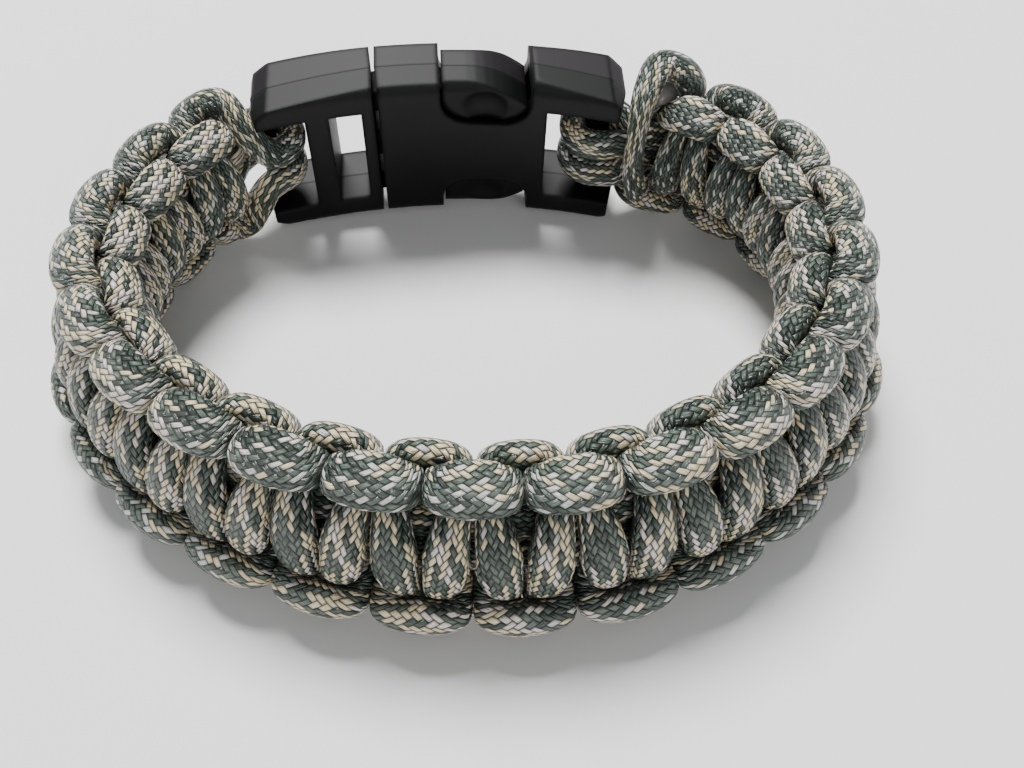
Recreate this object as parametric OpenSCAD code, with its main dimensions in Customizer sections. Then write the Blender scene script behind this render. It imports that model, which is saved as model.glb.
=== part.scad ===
// Woven cord bracelet, lying on its edge, closed with a side-release buckle.
// The band is worked out flat, in three directions: along the band from the socket to the
// plug, out from the wrist, and across the band towards its upper edge. Each ring of each
// strand is then carried round the plan of the bracelet.

/* [Cord] */
// Diameter of the cord where nothing squeezes it
cord_d = 4; // [3.6:0.1:4.4]
// Gap left between strands that press on each other
cord_gap = 0.1; // [0.05:0.05:0.2]

/* [Woven band] */
// Full knots from the first outer loop to the last one
knots = 19; // [16:1:23]
// Length of one full knot along the band
knot_pitch = 8; // [7.6:0.1:9]
// Lean of the band towards the middle of the ring at its upper edge
lean = 11; // [0:1:15]
// From the socket's bar to the first outer loop
socket_lead = 7.3; // [7:0.1:9]
// From the plug's bar to the last outer loop
plug_lead = 6; // [5.5:0.1:9]
// Turn of the band along each lead
lead_turn = 22; // [10:1:30]

/* [Buckle] */
// Overall width of the buckle, across the band
buckle_w = 21; // [21:0.5:25]
// Thickness of the buckle
buckle_t = 7.2; // [7:0.1:9]
// Radius of the buckle's curve, to the middle of its thickness
buckle_bend = 75; // [60:5:200]
// Rounding along the buckle's edges
edge_r = 1.7; // [1:0.1:2.2]
// Length of the socket from its mouth to its rounded end
socket_l = 27; // [27:0.1:31]
// Length of the plug that shows
plug_l = 13.3; // [13.2:0.1:17]
// Gap between the plug's flange and the socket's mouth
mouth_gap = 0.3; // [0.2:0.1:0.6]
// Clearance round the plug's arms and tongue inside the socket
slide_gap = 0.25; // [0.15:0.05:0.4]
// Width of the rails and shoulders beside the windows
rail_w = 3.6; // [3:0.1:4.4]
// Diameter of the socket's end bar
socket_bar_d = 2.6; // [2.2:0.1:3]
// Diameter of the plug's end bar
plug_bar_d = 2; // [1.8:0.1:2.6]

/* [Hidden] */
$fn = 64;

black = "#1d1f22";
cord_green = "#5f6d66";
cord_tan = "#b3a78f";
cord_grey = "#8e9792";

woven_l = knots * knot_pitch;
// Width of the cord where its neighbours along the band squeeze it
squeezed_d = min(cord_d, knot_pitch / 2);
// The two straight strands inside the knots, pulled thin, and how far they lie apart
core_share = 0.41;
core_r = core_share * cord_d;
core_w = core_r + cord_gap;

// Plan of the band: share of the woven length and turn in degrees, from socket to plug
BAND_PLAN = [
    [0.10, 42],
    [0.16, 50],
    [0.22, 56],
    [0.20, 38],
    [0.10, 25],
    [0.12, 47],
    [0.10, 24],
];

// Half of an edge loop of a working strand: from the flat bar on one face, under the other
// strand's loop, over the edge, up and to the shoulder of its own loop on the other face.
// Columns: distance from the loop's middle as a share of the knot pitch, angle round the
// core strand from the bar's face, distance from that strand's middle, half width along
// the band and half thickness, the last three as shares of the cord's diameter
LOOP = [
    [0.270,   0, 0.88, 0.48,  0.42],
    [0.328,  38, 0.82, 0.34,  0.33],
    [0.390,  96, 0.83, 0.22,  0.29],
    [0.323, 108, 1.32, 0.375, 0.335],
    [0.182, 110, 1.50, 0.62,  0.50],
];

// The cord's section where it is bent round a bar, as shares of its diameter
bight_half_w = 0.46;
bight_half_t = 0.34;
// Gap between a bar and the cord round it
bar_gap = 3 * cord_gap;
// From the band's middle to each strand where it goes round a bar
bight_w = 0.55 * cord_d;

SIDES = 8;

// Plastic in front of each end bar
socket_bar_skin = 1.2;
plug_bar_skin = 0.3;

// Places along the buckle, from the middle of its length
mouth_x = plug_l + mouth_gap - (plug_l + mouth_gap + socket_l) / 2;
socket_end_x = mouth_x + socket_l;
plug_end_x = mouth_x - mouth_gap - plug_l;
socket_bar_x = socket_end_x - socket_bar_d / 2 - socket_bar_skin;
plug_bar_x = plug_end_x + plug_bar_d / 2 + plug_bar_skin;
bar_span = socket_bar_x - plug_bar_x;
half_w = buckle_w / 2;
half_t = buckle_t / 2;
window_half_w = half_w - rail_w;

// Height of the buckle's middle surface above the line of its bars, at a place along it
bar_mid_x = (socket_bar_x + plug_bar_x) / 2;
bend_drop = sqrt(buckle_bend ^ 2 - (bar_span / 2) ^ 2);
function bend_y(x) = sqrt(buckle_bend ^ 2 - (x - bar_mid_x) ^ 2) - bend_drop;

// A step of the plan: from [x, y, heading] along an arc that turns clockwise
function step(p, l, turn) =
    let (r = l / (turn * PI / 180))
    [p[0] + r * (sin(p[2]) - sin(p[2] - turn)), p[1] + r * (cos(p[2] - turn) - cos(p[2])), p[2] - turn];

// The rows of the whole plan, in millimetres and degrees, for one tightness of its turns
function plan_rows(tight) = concat(
    [[socket_lead, lead_turn]],
    [for (r = BAND_PLAN) [r[0] * woven_l, r[1] * tight]],
    [[plug_lead, lead_turn]]
);

// The start of each row, as [distance along, x, y, heading]
function plan_starts(rows, p, s = 0, i = 0) =
    i == len(rows)
    ? [[s, p[0], p[1], p[2]]]
    : concat(
        [[s, p[0], p[1], p[2]]],
        plan_starts(rows, step(p, rows[i][0], rows[i][1]), s + rows[i][0], i + 1)
    );

function plan_end(tight) =
    let (rows = plan_rows(tight), starts = plan_starts(rows, [0, 0, 0]))
    starts[len(rows)];
function plan_chord(tight) = let (e = plan_end(tight)) norm([e[1], e[2]]);

// The tightness at which the band's ends meet the buckle's bars
function close_ring(lo, hi, n = 30) =
    let (mid = (lo + hi) / 2)
    n == 0 ? mid : plan_chord(mid) > bar_span ? close_ring(mid, hi, n - 1) : close_ring(lo, mid, n - 1);

tight = close_ring(0.7, 1.2);
closed_end = plan_end(tight);
start_heading = 180 - atan2(closed_end[2], closed_end[1]);
PLAN_ROWS = plan_rows(tight);
PLAN_STARTS = plan_starts(PLAN_ROWS, [socket_bar_x, 0, start_heading]);
plan_l = PLAN_STARTS[len(PLAN_ROWS)][0];

function plan_row(s, i = 0) =
    i + 1 == len(PLAN_ROWS) || s < PLAN_STARTS[i + 1][0] ? i : plan_row(s, i + 1);

// The plan at a distance along the band, as [x, y, heading]
function plan_at(s) =
    let (c = min(max(s, 0), plan_l), i = plan_row(c), b = PLAN_STARTS[i], r = PLAN_ROWS[i],
        l = c - b[0],
        p = l > 0 ? step([b[1], b[2], b[3]], l, r[1] * l / r[0]) : [b[1], b[2], b[3]],
        past = s - c)
    [p[0] + past * cos(p[2]), p[1] + past * sin(p[2]), p[2]];

// A flat point [along, out, across] carried round the plan, with the lean
function carried(f) =
    let (p = plan_at(f[0] + socket_lead), out = f[1] * cos(lean) - f[2] * sin(lean))
    [p[0] - out * sin(p[2]), p[1] + out * cos(p[2]), f[1] * sin(lean) + f[2] * cos(lean)];

// One row of a strand: middle [along, out, across], outward direction of its section
// seen along the band, half width and half thickness
function loop_row(i, face, top, row, after) =
    let (dir = [-face * cos(row[1]), top * sin(row[1])], rho = row[2] * cord_d)
    [
        [i * knot_pitch / 2 + after * row[0] * knot_pitch, dir[0] * rho, top * core_w + dir[1] * rho],
        [0, dir[0], dir[1]],
        row[3] * squeezed_d,
        row[4] * cord_d,
    ];

LOOP_LAST = len(LOOP) - 1;
function loop_rows(i, face, top) = concat(
    [for (j = [0 : LOOP_LAST]) loop_row(i, face, top, LOOP[j], -1)],
    [for (j = [LOOP_LAST : -1 : 0]) loop_row(i, face, top, LOOP[j], 1)]
);

// The woven stretch of a strand whose loops lie on the outer (1) or inner (-1) face
function woven(face, first, last) =
    [for (i = [first : last]) for (r = loop_rows(i, face, i % 2 == 0 ? face : -face)) r];

// A strand's way round a bar, as rows. sign is -1 at the socket and 1 at the plug, at is
// the bar's place along the band, side the half of the band, half the bar's radius
function bight_rows(at, sign, side, half) =
    let (ht = bight_half_t * cord_d, rho = half + bar_gap + ht)
    [for (a = [90 : -36 : -90])
        [
            [at + sign * cos(a) * rho, sin(a) * rho, side * bight_w],
            [sign * cos(a), sin(a), 0],
            bight_half_w * cord_d,
            ht,
        ]];

function row(at, out, across, dir, hw, ht) = [[at, out, across], dir, hw * cord_d, ht * cord_d];

// Lists in the other order
function backwards(rows) = [for (i = [len(rows) - 1 : -1 : 0]) rows[i]];

last_loop = knots * 2;
socket_bar_s = -socket_lead;
plug_bar_s = woven_l + plug_lead;
socket_out = socket_bar_d / 2 + bar_gap + bight_half_t * cord_d;
plug_out = plug_bar_d / 2 + bar_gap + bight_half_t * cord_d;
core_end_s = woven_l - 0.22 * knot_pitch;

// The core: two straight strands, joined by a bight that goes round the socket's bar
function core_half(side) = concat(
    [row(core_end_s, 0, side * core_w, [0, 1, 0], core_share, core_share)],
    [for (k = [knots * 2 - 1 : -1 : 0])
        row(k * knot_pitch / 2, 0, side * core_w, [0, 1, 0], core_share, core_share)],
    [row(-0.42 * knot_pitch, 0, side * core_w, [0, 1, 0], 0.40, 0.38)],
    [row(-0.70 * socket_lead, 0.72 * socket_out, side * (core_w + bight_w) / 2, [0, 1, 0], 0.42, 0.34)],
    bight_rows(socket_bar_s, -1, side, socket_bar_d / 2),
    [row(-0.55 * socket_lead, -0.92 * socket_out, side * 0.95 * bight_w, [0, -1, 0], 0.42, 0.30)],
    [row(-0.42 * socket_lead, -0.88 * socket_out, side * 0.42 * bight_w, [0, -1, 0], 0.30, 0.26)]
);
CORE_ROWS = concat(core_half(1), backwards(core_half(-1)));

// The end of a working strand that goes round the plug's bar and back into the last knot
function plug_end_rows(side) = concat(
    backwards(bight_rows(plug_bar_s, 1, side, plug_bar_d / 2)),
    [row(woven_l + 0.5 * plug_lead, 0.6 * plug_out, side * (core_w + bight_w) / 2, [0, 1, 0], 0.42, 0.36)],
    [row(woven_l + 0.12 * plug_lead, 0.1, side * core_w, [0, 1, 0], core_share, core_share)],
    [row(core_end_s + cord_gap, 0, side * core_w, [0, 1, 0], core_share, core_share)]
);

// Working strand A makes every crossing on the outer face. Its cut end comes up inside
// the first loop of strand B, and its other end goes round the plug's bar
A_ROWS = concat(
    [row(-0.165 * knot_pitch, 0.2, core_w + 1.10 * cord_d, [-0.3, 0.2, 1], 0.36, 0.38)],
    [loop_row(-1, -1, 1, [0.330, 56, 0.92, 0.26, 0.30], 1)],
    [loop_row(-1, -1, 1, [0.275, 0, 0.96, 0.44, 0.42], 1)],
    [loop_row(0, -1, -1, [0.255, 0, 0.98, 0.42, 0.42], -1)],
    [for (j = [1 : LOOP_LAST]) loop_row(0, -1, -1, LOOP[j], -1)],
    [for (j = [LOOP_LAST : -1 : 0]) loop_row(0, -1, -1, LOOP[j], 1)],
    [for (r = woven(-1, 1, last_loop - 1)) r],
    [for (j = [0 : LOOP_LAST]) loop_row(last_loop, -1, -1, LOOP[j], -1)],
    [loop_row(last_loop, -1, -1, [0.140, 112, 1.48, 0.46, 0.46], 1)],
    [row(woven_l + 0.50 * plug_lead, -0.95 * plug_out, -core_w - 0.80 * cord_d, [0, -1, -0.6], 0.46, 0.42)],
    [row(woven_l + 0.74 * plug_lead, -1.05 * plug_out, -1.25 * bight_w, [0, -1, -0.2], 0.44, 0.38)],
    plug_end_rows(-1)
);

// Working strand B makes every crossing on the inner face. Its first loop stands up over
// the cut end of strand A, and its own cut end lies under the band's lower edge
B_ROWS = concat(
    [loop_row(-1, 1, -1, [0.165, 112, 1.50, 0.46, 0.44], 1)],
    [for (j = [LOOP_LAST - 1 : -1 : 1]) loop_row(-1, 1, -1, LOOP[j], 1)],
    [loop_row(-1, 1, -1, [0.270, 0, 1.40, 0.40, 0.36], 1)],
    [loop_row(0, 1, 1, [0.200, 0, 1.44, 0.40, 0.38], -1)],
    [loop_row(0, 1, 1, [0.145, 36, 1.67, 0.33, 0.38], -1)],
    [loop_row(0, 1, 1, [0.120, 78, 2.02, 0.40, 0.42], -1)],
    [loop_row(0, 1, 1, [0.020, 106, 2.02, 0.46, 0.44], 1)],
    [loop_row(0, 1, 1, [0.220, 112, 1.70, 0.52, 0.46], 1)],
    [for (j = [LOOP_LAST - 1 : -1 : 0]) loop_row(0, 1, 1, LOOP[j], 1)],
    [for (r = woven(1, 1, last_loop - 1)) r],
    [for (j = [0 : LOOP_LAST]) loop_row(last_loop, 1, 1, LOOP[j], -1)],
    [loop_row(last_loop, 1, 1, [0.140, 110, 1.48, 0.46, 0.46], 1)],
    [row(woven_l + 0.42 * plug_lead, -0.60 * plug_out, core_w + 0.85 * cord_d, [0, -0.6, 1], 0.44, 0.40)],
    [row(woven_l + 0.76 * plug_lead, -1.05 * plug_out, 1.30 * bight_w, [0, -1, 0.3], 0.44, 0.38)],
    plug_end_rows(1)
);

// The flat points of one section, square to the strand's own direction
function unit(v) = v / norm(v);
function section(rows, i) =
    let (r = rows[i], t = unit(rows[min(i + 1, len(rows) - 1)][0] - rows[max(i - 1, 0)][0]),
        up = unit(r[1] - t * (r[1] * t)), side = cross(t, up))
    [for (k = [0 : SIDES - 1])
        let (a = (k + 0.5) * 360 / SIDES) r[0] + side * (r[2] * cos(a)) + up * (r[3] * sin(a))];

function carried_points(rows) = [for (i = [0 : len(rows) - 1]) for (f = section(rows, i)) carried(f)];
CORE_POINTS = carried_points(CORE_ROWS);
A_POINTS = carried_points(A_ROWS);
B_POINTS = carried_points(B_ROWS);

// Plastic taken off the buckle's long edges over the mouth and the paddles
edge_cut = 0.4;

// How the bracelet rests: on the buckle's lower edge, and on the lowest loops of the far
// side of the ring, which lie more than front_y from the buckle
front_y = 15;
buckle_low = [
    half_w * sin(lean) - half_t * cos(lean),
    edge_cut - half_t * sin(lean) - half_w * cos(lean),
];
rest_tilt = min([for (p = concat(A_POINTS, B_POINTS))
    if (p[1] < -front_y) atan2(p[2] - buckle_low[1], buckle_low[0] - p[1])]);
function rested(p) = [
    p[0],
    p[1] * cos(rest_tilt) - p[2] * sin(rest_tilt),
    p[1] * sin(rest_tilt) + p[2] * cos(rest_tilt),
];
RESTED = [for (p = concat(A_POINTS, B_POINTS, CORE_POINTS)) rested(p)];
low_x = min([for (p = RESTED) p[0]]);
high_x = max([for (p = RESTED) p[0]]);
low_y = min([for (p = RESTED) p[1]]);
low_z = min([for (p = RESTED) p[2]]);
buckle_lean = lean + rest_tilt;
high_y = (bend_y(bar_mid_x) + half_t - edge_r) * cos(buckle_lean)
    + (half_w - edge_cut - edge_r) * sin(buckle_lean) + edge_r;

module rest() {
    translate([-(low_x + high_x) / 2, -(low_y + high_y) / 2, -low_z])
        rotate([rest_tilt, 0, 0]) children();
}

// A strand as one closed solid: sections in a row and a flat face at each end
module strand(points) {
    n = len(points) / SIDES;
    rest() polyhedron(
        points = points,
        faces = concat(
            [[for (k = [0 : SIDES - 1]) k]],
            [for (i = [0 : n - 2]) for (k = [0 : SIDES - 1]) for (f = [0, 1])
                let (a = i * SIDES + k, b = i * SIDES + (k + 1) % SIDES)
                f == 0 ? [b, a, a + SIDES] : [b, a + SIDES, b + SIDES]],
            [[for (k = [SIDES - 1 : -1 : 0]) (n - 1) * SIDES + k]]
        )
    );
}

module core_strand() {
    color(cord_grey) strand(CORE_POINTS);
}

module working_strand_a() {
    color(cord_green) strand(A_POINTS);
}

module working_strand_b() {
    color(cord_tan) strand(B_POINTS);
}

// A rectangle with exact round corners, centred
module round_box(w, h, r) {
    square([w - 2 * r, h], center = true);
    square([w, h - 2 * r], center = true);
    for (x = [-1, 1]) for (y = [-1, 1]) translate([x * (w / 2 - r), y * (h / 2 - r)]) circle(r);
}

// Sweeps a section, drawn out from the wrist and across, along the buckle's curve
module along_bend(x0, x1) {
    a0 = asin((x0 - bar_mid_x) / buckle_bend);
    a1 = asin((x1 - bar_mid_x) / buckle_bend);
    translate([bar_mid_x, -bend_drop, 0]) rotate([0, 0, 90 - a1])
        rotate_extrude(angle = a1 - a0, $fn = 360) translate([buckle_bend, 0]) children();
}

// Cuts a shape drawn along and across the buckle through its whole thickness
module through() {
    rotate([90, 0, 0]) linear_extrude(4 * buckle_t, center = true) children();
}

// Both halves of a shape across the buckle
module both_edges() {
    children();
    mirror([0, 1]) children();
}

module on_band() {
    rest() rotate([lean, 0, 0]) children();
}

// The side notches where the plug's paddles show, the cavity that takes its arms and
// tongue, and the shoulders behind the notches
collar_l = 6.9;
notch_l = 9.8;
notch_x0 = mouth_x + collar_l;
notch_x1 = notch_x0 + notch_l;
notch_depth = 6;
notch_r = 3.4;
cavity_half_t = 1.9;
cavity_half_w = half_w - 2.4;
cavity_x1 = notch_x1 + 0.4;
shoulder_l = 1.7;
shoulder_taper = 0.9;
waist_cut = 2.6;
tongue_half_w = 1.8;
arm_w = 2.6;

module notch_outline(grow) {
    translate([(notch_x0 + notch_x1) / 2, half_w])
        round_box(notch_x1 - notch_x0 + 2 * grow, 2 * (notch_depth + grow), notch_r + grow);
}

module socket_outline() {
    polygon([
        [mouth_x, 0], [mouth_x, edge_cut - half_w],
        [notch_x0, edge_cut - half_w], [notch_x0, 0],
    ]);
    polygon([
        [notch_x0, 0], [notch_x0, waist_cut - half_w],
        [notch_x1 - shoulder_l, waist_cut - half_w], [notch_x1 + edge_cut, -half_w],
        [socket_end_x - shoulder_l, shoulder_taper - half_w], [socket_end_x, waist_cut - half_w],
        [socket_end_x, 0],
    ]);
}

socket_window_x0 = notch_x1 + shoulder_l;

module buckle_socket() {
    color(black) on_band() difference() {
        union() {
            difference() {
                intersection() {
                    along_bend(mouth_x, socket_end_x) round_box(buckle_t, buckle_w, edge_r);
                    through() {
                        socket_outline();
                        mirror([0, 1]) socket_outline();
                    }
                }
                through() translate([socket_window_x0, -window_half_w])
                    square([socket_l, 2 * window_half_w]);
            }
            translate([socket_bar_x, 0, 0])
                cylinder(d = socket_bar_d, h = 2 * window_half_w + 2, center = true);
        }
        along_bend(mouth_x - 1, cavity_x1) square([2 * cavity_half_t, 2 * cavity_half_w], center = true);
        through() both_edges() notch_outline(0);
    }
}

// Places along the plug, back from its flange
flange_x = mouth_x - mouth_gap;
flange_t = 1.3;
window_l = 3.5;
middle_bar_w = 2.5;
front_window_x = flange_x - flange_t;
middle_bar_x = front_window_x - window_l;
back_window_x = middle_bar_x - middle_bar_w;

// The arms and the tongue that go into the socket
root_x = flange_x - 0.5;
arm_x1 = notch_x0 + 3;
arm_half_t = cavity_half_t - slide_gap;
arm_half_w = cavity_half_w - slide_gap;

module plug_outline() {
    polygon([
        [flange_x, 0], [flange_x, half_w - edge_cut], [plug_end_x + 2.2, half_w - 1.2],
        [plug_end_x + 0.5, half_w - 2.4], [plug_end_x, half_w - 4], [plug_end_x, 0],
    ]);
}

// Release paddles, seen along and across, and the oval dishes in their faces
paddle_thin = 0.6;
paddle_sunk = 0.7;
paddle_flat = 0.3;
paddle_fall = 3;
function paddle_top(t) =
    half_w - paddle_sunk - paddle_fall * max(0, (t - paddle_flat) / (1 - paddle_flat)) ^ 2;
dish_r = 4.2;
dish_depth = 0.8;
dish_at = [notch_x0 + 4.6, half_w - 3.9];
module paddle_outline() {
    intersection() {
        notch_outline(-slide_gap);
        polygon(concat(
            [[notch_x0, 0]],
            [for (t = [0 : 0.1 : 1]) [notch_x0 + t * notch_l, paddle_top(t)]],
            [[notch_x1, 0]]
        ));
    }
}

module buckle_plug() {
    color(black) on_band() difference() {
        union() {
            difference() {
                intersection() {
                    along_bend(plug_end_x, flange_x) round_box(buckle_t, buckle_w, edge_r);
                    through() both_edges() plug_outline();
                }
                through() translate([middle_bar_x, -window_half_w])
                    square([front_window_x - middle_bar_x, 2 * window_half_w]);
                through() translate([plug_end_x - 1, -window_half_w])
                    square([back_window_x - plug_end_x + 1, 2 * window_half_w]);
            }
            translate([plug_bar_x, 0, 0])
                cylinder(d = plug_bar_d, h = 2 * window_half_w + 2, center = true);
            along_bend(root_x, notch_x1 - 2) square([2 * arm_half_t, 2 * tongue_half_w], center = true);
            intersection() {
                along_bend(root_x, arm_x1) square([2 * arm_half_t, 2 * arm_half_w], center = true);
                through() both_edges() translate([root_x, arm_half_w - arm_w])
                    square([arm_x1 - root_x, arm_w]);
            }
            intersection() {
                along_bend(notch_x0, notch_x1)
                    round_box(buckle_t - 2 * paddle_thin, buckle_w - 2 * edge_cut, edge_r);
                through() both_edges() paddle_outline();
            }
        }
        for (w = [-1, 1]) for (t = [-1, 1])
            translate([
                dish_at[0],
                bend_y(dish_at[0]) + t * (half_t - paddle_thin + dish_r - dish_depth),
                w * dish_at[1],
            ]) sphere(dish_r);
    }
}

buckle_socket();
buckle_plug();
core_strand();
working_strand_a();
working_strand_b();
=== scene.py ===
import math
from functools import partial

import bpy
import numpy as np
from mathutils import Matrix, Vector


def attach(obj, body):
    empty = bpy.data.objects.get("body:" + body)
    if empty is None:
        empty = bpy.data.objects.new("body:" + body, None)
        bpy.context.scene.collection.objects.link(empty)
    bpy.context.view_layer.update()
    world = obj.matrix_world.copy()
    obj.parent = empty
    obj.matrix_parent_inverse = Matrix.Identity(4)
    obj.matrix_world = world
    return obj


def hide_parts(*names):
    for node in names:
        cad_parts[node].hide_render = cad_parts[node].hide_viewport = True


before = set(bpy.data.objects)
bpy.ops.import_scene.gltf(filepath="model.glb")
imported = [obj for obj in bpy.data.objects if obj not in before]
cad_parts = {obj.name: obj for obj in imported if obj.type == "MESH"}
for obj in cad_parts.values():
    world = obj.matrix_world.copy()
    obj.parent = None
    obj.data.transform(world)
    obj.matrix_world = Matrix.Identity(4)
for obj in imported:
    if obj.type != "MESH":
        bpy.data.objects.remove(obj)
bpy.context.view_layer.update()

MM = 0.001

# Sizes in millimetres, as in the part's source
cord_d = 4.0
girth = math.pi * cord_d
cord_gap = 0.1
bar_gap = 3 * cord_gap
knots = 19
knot_pitch = 8.0
lean = 11.0
socket_lead = 7.3
plug_lead = 6.0
lead_turn = 22.0
core_share = 0.41
core_r = core_share * cord_d
core_w = core_r + cord_gap
woven_l = knots * knot_pitch
bight_half_w, bight_half_t, bight_w = 0.46, 0.34, 0.55 * cord_d
socket_bar_d, plug_bar_d = 2.6, 2.0
socket_bar_x, plug_bar_x = 17.8, -19.0
buckle_bend = 75.0
# How the ring is tilted (degrees) and moved to rest on the buckle's and the loops' lower edges.
# The part's source works these out
REST_TILT = 1.12807
REST_SHIFT = np.array([-2.43554, 25.4928, 10.6221])

# Plan of the band: share of the woven length, and turn in degrees
BAND_PLAN = [(0.10, 42), (0.16, 50), (0.22, 56), (0.20, 38), (0.10, 25), (0.12, 47), (0.10, 24)]

# Half of an edge loop, from the bar to the loop's top. Columns: distance from the loop's middle
# as a share of the knot, then in cords: out on the loop's side, across from the band's middle,
# the section's outward direction (out, across), half width and half thickness
LOOP = [
    (0.280, -0.80, 0.40, -1.0, 0.0, 0.46, 0.40),
    (0.335, -0.50, 0.96, -0.8, 0.6, 0.39, 0.36),
    (0.400, 0.00, 1.28, -0.3, 0.95, 0.28, 0.44),
    (0.375, 0.40, 1.60, 0.4, 0.9, 0.46, 0.40),
    (0.270, 0.63, 1.71, 0.62, 0.78, 0.56, 0.43),
    (0.100, 0.70, 1.76, 0.7, 0.7, 0.60, 0.44),
]
# Shares of the out and across distances for the four rows of loops, by face and edge. They hold
# for the rows that stand out on the loop's own side
LOOP_SHARES = {
    (1, 1): (1.0, 1.0),
    (1, -1): (1.15, 0.88),
    (-1, 1): (0.40, 0.96),
    (-1, -1): (0.55, 1.06),
}
# The side that faces the buckle leans in by this many degrees more than the buckle does
FAR_LEAN = 5.0

# The cords' skins: points round the section, millimetres between sections, and the power of the
# section's curve, where 2 is an ellipse and more is squarer
SKIN_SIDES = 28
SKIN_STEP = 0.31
SECTION_POWER = 2.2


def plan(tight):
    """Arcs laid end to end: each row's start is the last one's end, turned by its angle. The
    band's angles are all multiplied by tight."""
    rows = [(socket_lead, lead_turn)]
    rows += [(share * woven_l, turn * tight) for share, turn in BAND_PLAN]
    rows += [(plug_lead, lead_turn)]
    starts = [(0.0, 0.0, 0.0, 0.0)]
    for length, turn in rows:
        s, x, y, h = starts[-1]
        r = length / math.radians(turn)
        a, b = math.radians(h), math.radians(h - turn)
        starts.append((s + length, x + r * (math.sin(a) - math.sin(b)),
                       y + r * (math.cos(b) - math.cos(a)), h - turn))
    return np.array(rows), np.array(starts)


def closed_plan():
    """The plan whose chord is the distance between the buckle's bars, found by halving."""
    chord = socket_bar_x - plug_bar_x
    lo, hi = 0.7, 1.2
    for _ in range(40):
        mid = (lo + hi) / 2
        end = plan(mid)[1][-1]
        lo, hi = (mid, hi) if math.hypot(end[1], end[2]) > chord else (lo, mid)
    rows, starts = plan(mid)
    turn = math.pi - math.atan2(starts[-1][2], starts[-1][1])
    x, y = starts[:, 1].copy(), starts[:, 2].copy()
    starts[:, 1] = x * math.cos(turn) - y * math.sin(turn) + socket_bar_x
    starts[:, 2] = x * math.sin(turn) + y * math.cos(turn)
    starts[:, 3] += math.degrees(turn)
    return rows, starts


PLAN_ROWS, PLAN_STARTS = closed_plan()


def plan_at(s):
    """Place and heading on the plan at distances s: the arc that holds s, turned by its share."""
    c = np.clip(s, 0, PLAN_STARTS[-1, 0])
    i = np.clip(np.searchsorted(PLAN_STARTS[:, 0], c, side="right") - 1, 0, len(PLAN_ROWS) - 1)
    length, turn = PLAN_ROWS[i, 0], np.radians(PLAN_ROWS[i, 1])
    past = c - PLAN_STARTS[i, 0]
    r = length / turn
    a = np.radians(PLAN_STARTS[i, 3])
    b = a - turn * past / length
    x = PLAN_STARTS[i, 1] + r * (np.sin(a) - np.sin(b)) + (s - c) * np.cos(b)
    y = PLAN_STARTS[i, 2] + r * (np.cos(b) - np.cos(a)) + (s - c) * np.sin(b)
    return x, y, b


def carried(flat):
    """Flat [along, out, across] to the ring in metres: lean the out and across directions,
    set them square to the plan, then tilt and lift the ring to where it rests."""
    s, out, up = flat[..., 0], flat[..., 1], flat[..., 2]
    t = math.radians(REST_TILT)
    a = np.radians(lean + FAR_LEAN * np.sin(np.pi * np.clip(s / woven_l, 0, 1))**2)
    x, y, h = plan_at(s + socket_lead)
    o = out * np.cos(a) - up * np.sin(a)
    z = out * np.sin(a) + up * np.cos(a)
    x, y = x - o * np.sin(h), y + o * np.cos(h)
    return MM * (np.stack([x, y * math.cos(t) - z * math.sin(t),
                           y * math.sin(t) + z * math.cos(t)], -1) + REST_SHIFT)


def row(s, out, across, direction, hw, ht):
    """A row of a strand: its middle, its section's outward direction, half width and thickness."""
    return [s, out, across, *direction, hw * cord_d, ht * cord_d]


def loop_row(i, face, top, place, after):
    """A row of edge loop i. Its place is the distance from the loop's middle as a share of the
    knot, the angle and the distance in cords round the core strand, half width and thickness."""
    away, angle, reach, hw, ht = place
    out = -face * math.cos(math.radians(angle))
    across = top * math.sin(math.radians(angle))
    rho = reach * cord_d
    return row((i / 2 + after * away) * knot_pitch, out * rho, top * core_w + across * rho,
               (0, out, across), hw, ht)


def edge_row(i, face, top, place, after):
    """A row of the LOOP table, set on edge loop i; face is the side of the strand's own bars."""
    away, out, across, out_way, across_way, hw, ht = place
    out_share, across_share = LOOP_SHARES[face, top] if out > 0 else (1.0, 1.0)
    return row((i / 2 + after * away) * knot_pitch, face * out * out_share * cord_d,
               top * across * across_share * cord_d, (0, face * out_way, top * across_way), hw, ht)


def half_loop(i, face, top, after, rows=LOOP):
    """One side of an edge loop, from the bar up before the loop and down to the bar after it."""
    made = [edge_row(i, face, top, place, after) for place in rows]
    return made if after < 0 else made[::-1]


def woven(face, first, last):
    """Edge loops first to last of one working strand, on alternate edges of the band."""
    rows = []
    for i in range(first, last + 1):
        top = face if i % 2 == 0 else -face
        rows += half_loop(i, face, top, -1) + half_loop(i, face, top, 1)
    return rows


def bight(at, sign, side, bar_r):
    """Half a turn round a bar: rows on a circle of the bar's radius, a gap and half the cord."""
    ht = bight_half_t * cord_d
    rho = bar_r + bar_gap + ht
    rows = []
    for a in np.radians([90, 60, 30, 0, -30, -60, -90]):
        rows.append([at + sign * math.cos(a) * rho, math.sin(a) * rho, side * bight_w,
                     sign * math.cos(a), math.sin(a), 0, bight_half_w * cord_d, ht])
    return rows


# How far the cord's middle line stands from each bar's middle
socket_out = socket_bar_d / 2 + bar_gap + bight_half_t * cord_d
plug_out = plug_bar_d / 2 + bar_gap + bight_half_t * cord_d
core_end_s = woven_l - 0.22 * knot_pitch


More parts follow.
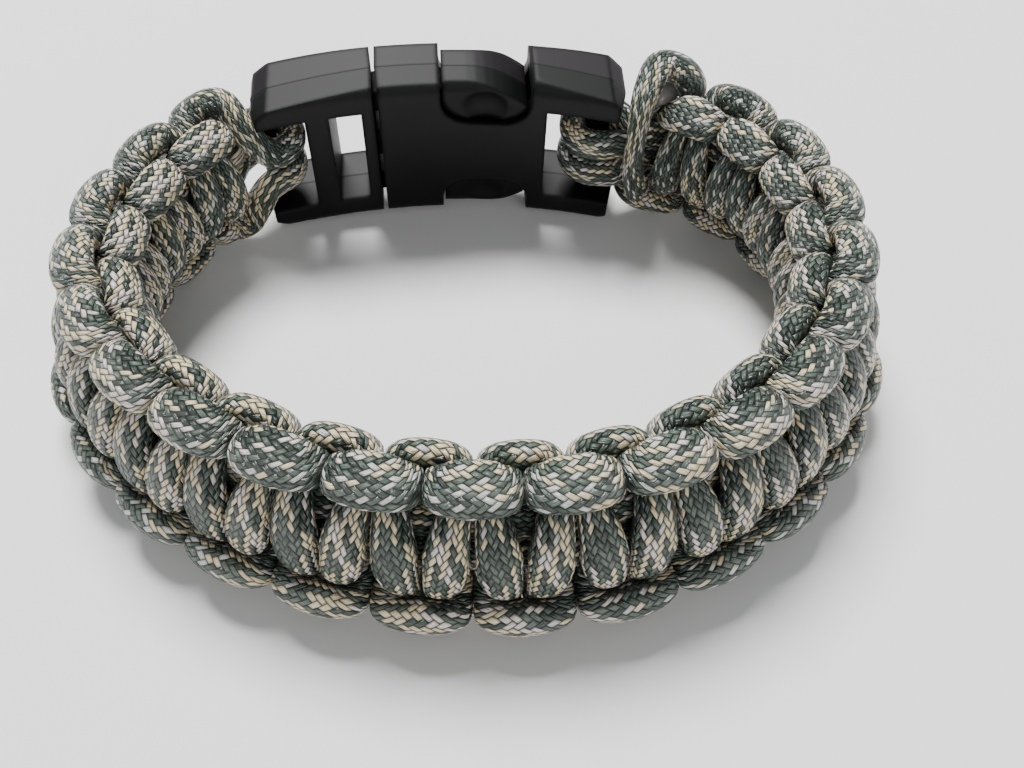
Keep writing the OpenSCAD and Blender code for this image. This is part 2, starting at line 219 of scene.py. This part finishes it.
def core_half(side):
    """Core strand from the last knot back to the socket's bar, round it and behind the knot."""
    straight = [row(k * knot_pitch / 2, 0, side * core_w, (0, 1, 0), core_share, core_share)
                for k in range(2 * knots - 1, -1, -1)]
    return ([row(core_end_s, 0, side * core_w, (0, 1, 0), core_share, core_share)] + straight
            + [row(-0.42 * knot_pitch, 0, side * core_w, (0, 1, 0), 0.40, 0.38),
               row(-0.70 * socket_lead, 0.72 * socket_out, side * (core_w + bight_w) / 2,
                   (0, 1, 0), 0.42, 0.34)]
            + bight(-socket_lead, -1, side, socket_bar_d / 2)
            + [row(-0.55 * socket_lead, -0.92 * socket_out, side * 0.95 * bight_w,
                   (0, -1, 0), 0.42, 0.30),
               row(-0.42 * socket_lead, -0.88 * socket_out, side * 0.42 * bight_w,
                   (0, -1, 0), 0.30, 0.26)])


def plug_end(side):
    """Round the plug's bar and back into the last knot."""
    return (bight(woven_l + plug_lead, 1, side, plug_bar_d / 2)[::-1]
            + [row(woven_l + 0.5 * plug_lead, 0.6 * plug_out, side * (core_w + bight_w) / 2,
                   (0, 1, 0), 0.42, 0.36),
               row(woven_l + 0.12 * plug_lead, 0.1, side * core_w,
                   (0, 1, 0), core_share, core_share),
               row(core_end_s + cord_gap, 0, side * core_w,
                   (0, 1, 0), core_share, core_share)])


def strand_a():
    """Crossings on the outer face. Its cut end, melted, fills the other working strand's standing
    loop, and its far end goes round the plug's bar."""
    return ([row(0.04 * knot_pitch, 0.1, core_w + 1.60 * cord_d, (0, 0.95, 0.30), 0.43, 0.42),
             row(-0.10 * knot_pitch, 0.6, core_w + 1.16 * cord_d, (0, 0.80, 0.60), 0.38, 0.38),
             loop_row(-1, -1, 1, (0.330, 56, 0.92, 0.26, 0.30), 1),
             loop_row(-1, -1, 1, (0.275, 0, 0.96, 0.44, 0.42), 1),
             loop_row(0, -1, -1, (0.255, 0, 0.98, 0.42, 0.42), -1)]
            + half_loop(0, -1, -1, -1)[1:] + half_loop(0, -1, -1, 1)
            + woven(-1, 1, 2 * knots - 1)
            + half_loop(2 * knots, -1, -1, -1)
            + [loop_row(2 * knots, -1, -1, (0.140, 112, 1.48, 0.46, 0.46), 1),
               row(woven_l + 0.50 * plug_lead, -0.95 * plug_out, -core_w - 0.80 * cord_d,
                   (0, -1, -0.6), 0.46, 0.42),
               row(woven_l + 0.74 * plug_lead, -1.05 * plug_out, -1.25 * bight_w,
                   (0, -1, -0.2), 0.44, 0.38)]
            + plug_end(-1))


def strand_b():
    """Crossings on the inner face. Its first loop stands up beside the socket, and its far end
    goes round the plug's bar."""
    return ([loop_row(-1, 1, -1, (0.165, 112, 1.50, 0.46, 0.44), 1)]
            + half_loop(-1, 1, -1, 1, LOOP[1:4])
            + [loop_row(-1, 1, -1, (0.270, 0, 1.40, 0.40, 0.36), 1),
               loop_row(0, 1, 1, (0.310, 0, 1.44, 0.42, 0.40), -1),
               loop_row(0, 1, 1, (0.300, 36, 1.66, 0.40, 0.40), -1),
               loop_row(0, 1, 1, (0.240, 78, 1.98, 0.44, 0.42), -1),
               loop_row(0, 1, 1, (0.060, 104, 2.08, 0.48, 0.44), -1),
               loop_row(0, 1, 1, (0.170, 110, 1.84, 0.52, 0.46), 1)]
            + half_loop(0, 1, 1, 1, LOOP[:4])
            + woven(1, 1, 2 * knots - 1)
            + half_loop(2 * knots, 1, 1, -1)
            + [loop_row(2 * knots, 1, 1, (0.140, 110, 1.48, 0.46, 0.46), 1),
               row(woven_l + 0.42 * plug_lead, -0.60 * plug_out, core_w + 0.85 * cord_d,
                   (0, -0.6, 1), 0.44, 0.40),
               row(woven_l + 0.76 * plug_lead, -1.05 * plug_out, 1.30 * bight_w,
                   (0, -1, 0.3), 0.44, 0.38)]
            + plug_end(1))


def flow(rows, spacing):
    """A cubic through the rows, evenly spaced: at each row the slope is the mean of its two
    neighbours' slopes, each weighted by the other's length."""
    p = np.array(rows, float)
    p = p[np.r_[True, np.linalg.norm(np.diff(p[:, :3], axis=0), axis=1) > 1e-6]]
    d = np.linalg.norm(np.diff(p[:, :3], axis=0), axis=1)
    slope = np.diff(p, axis=0) / d[:, None]
    m = np.empty_like(p)
    m[1:-1] = (slope[:-1] * d[1:, None] + slope[1:] * d[:-1, None]) / (d[1:] + d[:-1])[:, None]
    m[0], m[-1] = slope[0], slope[-1]
    steps = 12
    u = (np.arange(steps) / steps)[None, :, None]
    h = d[:, None, None]
    a, b, ma, mb = p[:-1, None], p[1:, None], m[:-1, None] * h, m[1:, None] * h
    q = ((2 * u**3 - 3 * u**2 + 1) * a + (u**3 - 2 * u**2 + u) * ma
         + (3 * u**2 - 2 * u**3) * b + (u**3 - u**2) * mb).reshape(-1, p.shape[1])
    q = np.vstack([q, p[-1]])
    run = np.r_[0, np.cumsum(np.linalg.norm(np.diff(q[:, :3], axis=0), axis=1))]
    at = np.linspace(0, run[-1], max(3, int(run[-1] / spacing)))
    return np.stack([np.interp(at, run, q[:, c]) for c in range(q.shape[1])], 1)


def unit(v):
    """Vectors, each divided by its length."""
    return v / np.maximum(np.linalg.norm(v, axis=-1, keepdims=True), 1e-9)


def run_along(line):
    """How far each point of a line lies from its first, along it."""
    return np.r_[0, np.cumsum(np.linalg.norm(np.diff(line, axis=0), axis=1))]


def unwound(rows):
    """A cord's skin before it's pressed. Its section is |a/half width|^n + |b/half thickness|^n
    = 1 about the flowing middle line, set square to it. The grid turns with the line alone, so
    that the braid runs straight along it."""
    q = flow(rows, SKIN_STEP)
    mid, up = q[:, :3], q[:, 3:6]
    half_w, half_t = q[:, 6:7], q[:, 7:8]
    t = unit(np.gradient(mid, axis=0))
    up = unit(up - t * np.sum(up * t, 1, keepdims=True))
    side = np.cross(t, up)
    # the section's own direction turns about the line; the grid takes that turn out
    moved = up[:-1] - t[1:] * np.sum(up[:-1] * t[1:], 1, keepdims=True)
    turn = np.arctan2(np.sum(moved * side[1:], 1), np.sum(moved * up[1:], 1))
    lag = np.r_[0, np.cumsum(turn)][:, None]
    phi = 2 * np.pi * np.arange(SKIN_SIDES)[None, :] / SKIN_SIDES - lag
    c, s = np.cos(phi), np.sin(phi)
    n = SECTION_POWER
    r = (np.abs(s / half_w)**n + np.abs(c / half_t)**n) ** (-1 / n)
    spoke = c[..., None] * up[:, None] + s[..., None] * side[:, None]
    line = carried(mid)
    crown = carried(mid + up * half_t)
    return {
        "line": line,
        "skin": carried(mid[:, None] + r[..., None] * spoke),
        "half": q[:, 6:8] * MM,
        "up": unit(crown - line),
        "side": unit(carried(mid + side) - line),
        "length": run_along(line),
        "crown_length": run_along(crown),
    }


def half_size(c, k, towards):
    """Half of the section's size in a direction, and how square that direction is to the line."""
    a, b = np.sum(c["side"][k] * towards, 1), np.sum(c["up"][k] * towards, 1)
    square = np.hypot(a, b)
    return square / np.maximum(np.hypot(a / c["half"][k, 0], b / c["half"][k, 1]), 1e-9), square


def press(cords):
    """Flattens cords where they touch. Between two places of the lines stands a plane that
    divides their distance as their half sizes do. A point of the skin is drawn towards its own
    line until it's short of every such plane and of the table; a soft minimum, the sixth root
    of the sum of sixth powers of the inverses, rounds the edge of each flat."""
    near = 6.2 * MM             # farthest that two places can press each other
    own = 8.5 * MM              # a cord doesn't press itself closer along its length than this
    gap = 0.05 * MM             # left between two flats
    squareness = 0.55, 0.35     # least of the place pressed and of the place that presses it
    touching = 1.12             # two half sizes reach each other within this share of them
    least_share = 0.42          # of its own half size that a place always keeps
    least_lean = 0.12           # spokes that point less towards the plane stay free
    least_down = 0.1            # spokes that point less downwards are free of the table
    unbounded = 1.0             # metres, more than any reach
    thinnest = 0.1 * MM         # of any spoke
    softness = 6
    cords_apart = 10.0          # metres, keeps different cords' lengths further apart than own
    chunk = 128                 # places worked out at once
    c = {key: np.concatenate([x[key] for x in cords]) for key in ("line", "half", "up", "side")}
    spoke = np.concatenate([x["skin"] for x in cords]) - c["line"][:, None]
    reach = np.linalg.norm(spoke, axis=2)
    way = spoke / reach[..., None]
    place = np.concatenate([x["length"] + cords_apart * k for k, x in enumerate(cords)])
    down = -way[..., 2]
    height = c["line"][:, None, 2]
    free = np.where(down > least_down, height / np.maximum(down, least_down), unbounded)
    for first in range(0, len(place), chunk):
        i = np.arange(first, min(first + chunk, len(place)))
        apart = c["line"][None] - c["line"][i, None]
        dist = np.linalg.norm(apart, axis=2)
        a, j = np.nonzero((dist < near) & (np.abs(place[i, None] - place[None]) > own))
        if not len(a):
            continue
        towards = apart[a, j] / dist[a, j][:, None]
        mine, square_a = half_size(c, i[a], towards)
        other, square_b = half_size(c, j, towards)
        keep = ((square_a > squareness[0]) & (square_b > squareness[1])
                & (dist[a, j] < touching * (mine + other)))
        a, j, towards, mine, other = a[keep], j[keep], towards[keep], mine[keep], other[keep]
        if not len(a):
            continue
        share = np.maximum(dist[a, j] * mine / (mine + other) - gap / 2, least_share * mine)
        over = np.einsum("pkc,pc->pk", way[i[a]], towards)
        allowed = np.where(over > least_lean, share[:, None] / np.maximum(over, least_lean), unbounded)
        starts = np.flatnonzero(np.r_[True, np.diff(a) > 0])
        rows = i[a[starts]]
        free[rows] = np.minimum(free[rows], np.minimum.reduceat(allowed, starts, axis=0))
    free = np.maximum(free, thinnest)
    reach = (reach**-softness + free**-softness) ** (-1 / softness)
    skin = c["line"][:, None] + way * reach[..., None]
    for x, pressed in zip(cords, np.split(skin, np.cumsum([len(x["line"]) for x in cords])[:-1])):
        x["skin"] = pressed


def cord(name, made):
    """The mesh of a cord: its skin's rings joined by quads, and a fan of triangles at each end.
    Its UV map is the share of the girth, and the length in girths along the crown, the side
    that faces away from the core, where the braid is seen."""
    ring, line = made["skin"], made["line"]
    count, sides = ring.shape[:2]
    verts = np.vstack([ring.reshape(-1, 3), line[:1], line[-1:]])
    i, k = np.meshgrid(np.arange(count - 1), np.arange(sides), indexing="ij")
    k2 = (k + 1) % sides
    quads = np.stack([i * sides + k, i * sides + k2, (i + 1) * sides + k2, (i + 1) * sides + k], -1)
    ends = np.arange(sides)
    nxt = (ends + 1) % sides
    last_ring = (count - 1) * sides
    first = np.stack([np.full(sides, count * sides), nxt, ends], 1)
    last = np.stack([np.full(sides, count * sides + 1), last_ring + ends, last_ring + nxt], 1)
    faces = quads.reshape(-1, 4).tolist() + first.tolist() + last.tolist()
    mesh = bpy.data.meshes.new(name)
    mesh.from_pydata(verts.tolist(), [], faces)
    u0, u1 = k / sides, k / sides + 1 / sides
    v = made["crown_length"] / (girth * MM)
    corners = [(u0, v[i]), (u1, v[i]), (u1, v[i + 1]), (u0, v[i + 1])]
    uv = [np.stack([np.stack(pair, -1) for pair in corners], 2).reshape(-1, 2)]
    uv += [np.repeat(np.stack([ends / sides, np.full(sides, v[at])], 1), 3, axis=0) for at in (0, -1)]
    layer = mesh.uv_layers.new(name="braid")
    layer.data.foreach_set("uv", np.vstack(uv).ravel())
    mesh.polygons.foreach_set("use_smooth", np.ones(len(mesh.polygons), bool))
    mesh.update()
    piece = bpy.data.objects.new(name, mesh)
    bpy.context.scene.collection.objects.link(piece)
    return piece


# Materials
def linear(colour):
    """An sRGB hex colour as linear red, green, blue and alpha."""
    c = np.array([int(colour[i:i + 2], 16) / 255 for i in (1, 3, 5)])
    return (*np.where(c <= 0.04045, c / 12.92, ((c + 0.055) / 1.055) ** 2.4), 1.0)


def add(tree, kind, inputs=(), stops=(), steps=False, **settings):
    """Adds a shader node. Its inputs, by order or by name, are linked to a node's first output
    or to a socket, or set to a constant. Settings are its properties, and stops are a colour
    ramp's places and colours, with hard steps between them or a smooth run."""
    n = tree.nodes.new("ShaderNode" + kind)
    for key, value in settings.items():
        setattr(n, key, value)
    for key, value in inputs.items() if isinstance(inputs, dict) else enumerate(inputs):
        if isinstance(value, bpy.types.Node):
            value = value.outputs[0]
        if isinstance(value, bpy.types.NodeSocket):
            tree.links.new(value, n.inputs[key])
        else:
            n.inputs[key].default_value = value
    for i, (place, colour) in enumerate(stops):
        elements = n.color_ramp.elements
        element = elements[i] if i < len(elements) else elements.new(place)
        element.position = place
        element.color = linear(colour)
    if steps:
        n.color_ramp.interpolation = "CONSTANT"
    return n


def material(name):
    """A new material, its shader, the function that links a node to the shader's input, and the
    function that adds a node."""
    m = bpy.data.materials.new(name)
    m.use_nodes = True
    tree = m.node_tree
    shader = tree.nodes["Principled BSDF"]

    def wire(source, key):
        tree.links.new(source, shader.inputs[key])

    return m, shader, wire, partial(add, tree)


# The braid: width of a column of blocks round the cord and length of a block along it, both in
# millimetres, the yarns that wind each way, and the yarns' colours by share
COLUMN_W = 0.571
BLOCK_L = 0.952
CARRIERS = 2 * round(girth / COLUMN_W / 2)
YARNS = [(0.0, "#3b473f"), (0.28, "#59675c"), (0.50, "#cfcfc8"), (0.63, "#e4d6b0"), (0.82, "#e0d6cf")]
# Keeps the yarns' numbers above nought on the whole cord; divisible by four
FIRST_YARN = 4096.0


def braided_nylon(name, seed, girths):
    """Braided polyamide sheath, two over two: eleven pairs of yarns each way wind round the
    cord at about 30 degrees to it. Each yarn shows as small rounded blocks streaked by its
    filaments. The colour is painted darker where the relief is low: painted shade that draws dark
    stepped lines between the blocks and darkens the streaks' furrows. Neighbouring yarns share a
    tone of green-grey, light grey or tan, so the colours cross as a mottle. The cut ends, at
    nought and at the full length in girths, are melted to a dull skin."""
    m, shader, wire, node = material(name)
    uv = node("SeparateXYZ", [node("UVMap", uv_map="braid")])
    along_cord = uv.outputs[1]
    u = node("Math", [uv.outputs[0], float(CARRIERS)], operation="MULTIPLY")
    v = node("Math", [along_cord, girth / BLOCK_L], operation="MULTIPLY")

    # the yarns' numbers: a counts the yarns of one hand, b those of the other
    a = node("Math", [node("Math", [u, v], operation="ADD"), FIRST_YARN], operation="ADD")
    b = node("Math", [node("Math", [u, v], operation="SUBTRACT"), FIRST_YARN], operation="ADD")
    a_yarn = node("Math", [a], operation="FLOOR")
    b_yarn = node("Math", [b], operation="FLOOR")
    a_part = node("Math", [a], operation="FRACT")
    b_part = node("Math", [b], operation="FRACT")
    yarns = node("Math", [a_yarn, b_yarn], operation="ADD")
    phase = node("Math", [yarns, 4.0], operation="MODULO")
    a_on_top = node("Math", [phase, 1.5], operation="LESS_THAN")

    def of_top_yarn(for_a, for_b):
        """Of two values, the one that belongs to the yarn on top."""
        return node("Mix", {0: a_on_top, 2: for_b, 3: for_a}, data_type="FLOAT")

    # across the yarn and along its block, each 0 in the middle and 1 at the edge
    from_edge = node("Math", [of_top_yarn(a_part, b_part), 0.5], operation="SUBTRACT")
    across = node("Math", [node("Math", [from_edge], operation="ABSOLUTE"), 2.0], operation="MULTIPLY")
    a_block = node("Math", [node("Math", [phase, b_part], operation="ADD"), 1.0], operation="SUBTRACT")
    b_block = node("Math", [node("Math", [phase, a_part], operation="ADD"), 3.0], operation="SUBTRACT")
    along = node("Math", [of_top_yarn(a_block, b_block)], operation="ABSOLUTE")
    fall_across = node("Math", [across, 4.5], operation="POWER")
    fall_along = node("Math", [along, 2.2], operation="POWER")
    crown = node("Math", [node("Math", [1.0, fall_across], operation="SUBTRACT"),
                          node("Math", [1.0, fall_along], operation="SUBTRACT")], operation="MULTIPLY")

    def dye(yarn, start):
        """Two neighbouring yarns share a tone; each has a small part of its own."""
        own_share = 0.14
        own = node("Math", [yarn, float(CARRIERS)], operation="MODULO")
        half = node("Math", [own, 2.0], operation="DIVIDE")
        pair = node("Math", [half], operation="FLOOR")
        tones = []
        for number, first, share in ((pair, start, 1 - own_share), (own, start + 50.0, own_share)):
            seeded = node("Math", [number, first], operation="ADD")
            tone = node("TexWhiteNoise", {"W": seeded}, noise_dimensions="1D")
            tones.append(node("Math", [tone, share], operation="MULTIPLY"))
        return node("Math", tones, operation="ADD")

    tone = of_top_yarn(dye(a_yarn, 3.3 + seed), dye(b_yarn, 141.7 + seed))
    colour = node("ValToRGB", [tone], YARNS, steps=True)

    # filaments run along the yarn: five to a yarn, coarser than the real ones so that they show
    fine = node("Math", [of_top_yarn(a, b), 5.0], operation="MULTIPLY")
    long = node("Math", [of_top_yarn(b, a), 0.9], operation="MULTIPLY")
    where = node("CombineXYZ", [fine, long])
    streak = node("TexNoise", {"Vector": where, "Scale": 1.0, "Detail": 1.0})
    lift = node("Math", [streak, 0.5], operation="ADD")
    relief = node("Math", [crown, lift], operation="MULTIPLY")
    # painted shade: the yarn colour is multiplied by the relief, near black in the gaps between blocks
    # and darker along the streaks' furrows
    gap = node("ValToRGB", [relief],
               [(0.0, "#050706"), (0.14, "#4c504e"), (0.42, "#d2d2d2"), (0.75, "#ffffff")])
    dye_and_painted_shade = node("Mix", {0: 1.0, 6: colour, 7: gap}, data_type="RGBA", blend_type="MULTIPLY")

    melt_l = 0.09
    at_start = node("Math", [along_cord, melt_l], operation="LESS_THAN")
    at_end = node("Math", [along_cord, girths - melt_l], operation="GREATER_THAN")
    melted = node("Math", [at_start, at_end], operation="MAXIMUM")
    skin = node("Mix", {0: melted, 6: dye_and_painted_shade.outputs[2], 7: linear("#716d6a")}, data_type="RGBA")
    wire(skin.outputs[2], "Base Color")
    unmelted = node("Math", [1.0, melted], operation="SUBTRACT")
    height = node("Math", [relief, unmelted], operation="MULTIPLY")
    bump = node("Bump", {"Height": height, "Strength": 1.0, "Distance": 0.24 * MM})
    wire(bump.outputs[0], "Normal")
    shader.inputs["Roughness"].default_value = 0.33
    shader.inputs["Specular IOR Level"].default_value = 0.65
    return m


def moulded_acetal():
    """Black acetal, injection moulded: satin faces, edges rounded by a small bevel that draws a
    bright line along them, and a fine spark-eroded grain. The two halves of the mould leave a
    fine parting line half way through the thickness. The outer half is painted paler and
    purplish: a painted sheen of the light its faces catch. The thickness is the distance from
    the axis of the buckle's bend, less the bend."""
    edge_r, grain, relief, line_half_w = 0.8, 0.25, 0.05, 0.14
    m, shader, wire, node = material("moulded_black_acetal")
    where = node("TexCoord").outputs["Object"]
    rested = node("VectorMath", [where, tuple(REST_SHIFT * MM)], operation="SUBTRACT")
    upright = node("VectorRotate", {"Vector": rested, "Angle": -math.radians(lean + REST_TILT)},
                   rotation_type="X_AXIS")
    sep = node("SeparateXYZ", [upright])
    half_chord = (socket_bar_x - plug_bar_x) / 2
    x = node("Math", [sep.outputs[0], 1 / MM, -(socket_bar_x + plug_bar_x) / 2], operation="MULTIPLY_ADD")
    y = node("Math", [sep.outputs[1], 1 / MM, math.sqrt(buckle_bend**2 - half_chord**2)],
             operation="MULTIPLY_ADD")
    x_squared = node("Math", [x, x], operation="MULTIPLY")
    radius = node("Math", [node("Math", [y, y, x_squared], operation="MULTIPLY_ADD")], operation="SQRT")
    depth = node("Math", [radius, buckle_bend], operation="SUBTRACT")
    off_line = node("Math", [node("Math", [depth], operation="ABSOLUTE"), 1 / line_half_w],
                    operation="MULTIPLY", use_clamp=True)
    speckle = node("TexNoise", {"Vector": where, "Scale": 1 / (grain * MM), "Detail": 2.0})
    height = node("Math", [speckle, 0.22, off_line], operation="MULTIPLY_ADD")
    edge = node("Bevel", {"Radius": edge_r * MM}, samples=6)
    bump = node("Bump", {"Height": height, "Strength": 0.5, "Distance": relief * MM, "Normal": edge})
    wire(bump.outputs[0], "Normal")
    # painted sheen: the base colour grows paler and purplish towards the outer half, standing for light
    # on the faces that turn up
    painted_sheen_outer_half = node("Math", [depth, 0.8, 0.5], operation="MULTIPLY_ADD")
    tone = node("ValToRGB", [node("Math", [painted_sheen_outer_half, off_line], operation="MULTIPLY")],
                [(0.0, "#050606"), (0.35, "#070808"), (0.7, "#1c181b")])
    wire(tone.outputs[0], "Base Color")
    shader.inputs["Roughness"].default_value = 0.5
    shader.inputs["Specular IOR Level"].default_value = 0.19
    return m


ACETAL = moulded_acetal()
for node in ("buckle_socket", "buckle_plug"):
    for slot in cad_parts[node].material_slots:
        slot.material = ACETAL

CORDS = [("core_cord", "core_strand", core_half(1) + core_half(-1)[::-1]),
         ("outer_cord", "working_strand_a", strand_a()),
         ("inner_cord", "working_strand_b", strand_b())]
SKINS = [unwound(rows) for _, _, rows in CORDS]
press(SKINS)
for number, ((name, node, _), made) in enumerate(zip(CORDS, SKINS)):
    piece = cord(name, made)
    girths = made["crown_length"][-1] / (girth * MM)
    piece.data.materials.append(braided_nylon("braided_nylon_" + name, 7.0 * number, girths))
    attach(piece, "root")
    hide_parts(node)


# Stage
def floor():
    """A plain pale table top, matt, far wider than the view."""
    half = 3.0
    m, shader, _, _ = material("matt_pale_table")
    shader.inputs["Base Color"].default_value = linear("#f3f2f1")
    shader.inputs["Roughness"].default_value = 0.75
    shader.inputs["Specular IOR Level"].default_value = 0.2
    mesh = bpy.data.meshes.new("table")
    corners = [(-half, -half, 0), (half, -half, 0), (half, half, 0), (-half, half, 0)]
    mesh.from_pydata(corners, [], [(0, 1, 2, 3)])
    mesh.materials.append(m)
    o = bpy.data.objects.new("table", mesh)
    bpy.context.scene.collection.objects.link(o)


def softbox(name, place, size, watts):
    """A white disk light of that size, facing the bracelet's middle."""
    data = bpy.data.lights.new(name, "AREA")
    data.shape, data.size, data.energy = "DISK", size, watts
    o = bpy.data.objects.new(name, data)
    p = Vector(place)
    aim = (Vector((0, 0, 0.01)) - p).to_track_quat("-Z", "Y")
    o.matrix_world = Matrix.Translation(p) @ aim.to_matrix().to_4x4()
    bpy.context.scene.collection.objects.link(o)


def room(colour, strength):
    """Even light from all round."""
    world = bpy.data.worlds.new("room")
    world.use_nodes = True
    background = world.node_tree.nodes["Background"]
    background.inputs["Color"].default_value = linear(colour)
    background.inputs["Strength"].default_value = strength
    bpy.context.scene.world = world


def camera(place, azimuth, down, roll, focal_px):
    """A camera at place, in millimetres, turned azimuth from +Y towards +X, tipped down and
    rolled, whose focal length is in pixels of a picture 1024 pixels wide."""
    width_px, sensor = 1024, 36.0
    data = bpy.data.cameras.new("camera")
    data.sensor_width = sensor
    data.lens = focal_px / width_px * sensor
    data.clip_start = 0.005
    o = bpy.data.objects.new("camera", data)
    a, e, r = (math.radians(angle) for angle in (azimuth, down, roll))
    turned = Matrix.Rotation(-a, 4, "Z") @ Matrix.Rotation(math.pi / 2 - e, 4, "X")
    look = turned @ Matrix.Rotation(r, 4, "Z")
    o.matrix_world = Matrix.Translation(Vector(place) * MM) @ look
    bpy.context.scene.collection.objects.link(o)
    bpy.context.scene.camera = o


floor()
softbox("window", (-0.10, 0.36, 0.82), size=0.42, watts=17.0)
softbox("room_front", (0.15, -0.75, 0.30), size=0.7, watts=3.0)
room("#e8ecf2", 0.33)
camera((-2.86, -82.43, 90.13), azimuth=4.85, down=48.15, roll=1.10, focal_px=1155.4)
